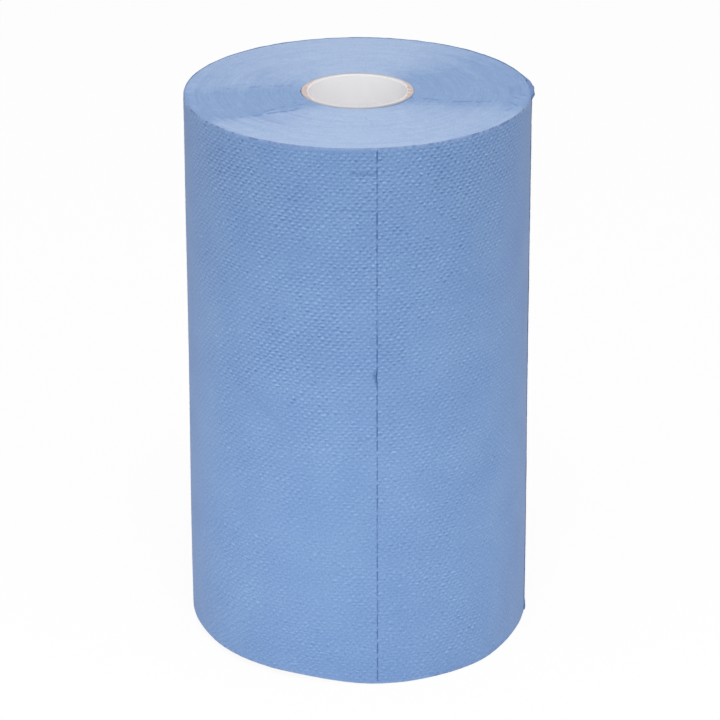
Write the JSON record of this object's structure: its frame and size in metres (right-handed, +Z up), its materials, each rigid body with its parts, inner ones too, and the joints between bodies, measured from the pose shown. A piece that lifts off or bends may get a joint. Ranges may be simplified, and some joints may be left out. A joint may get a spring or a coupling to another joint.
{
  "type": "paper towel roll",
  "caption": "Upright industrial roll of blue embossed wiping paper, perforated into sheets and wound on a paperboard core.",
  "frame": {"origin": "on the roll's axis, at the lower end face", "axes": "+Z up along the roll's axis, +X towards the web's free edge, -Y the side that faces the camera"},
  "size_m": [0.2197, 0.2174, 0.36],
  "materials": {
    "wiping_paper": "soft matte embossed tissue, dyed blue",
    "core_board": "white lined paperboard, matte"
  },
  "bodies": {
    "root": {"paper_roll": "wiping_paper", "core_tube": "core_board"}
  },
  "joints": []
}
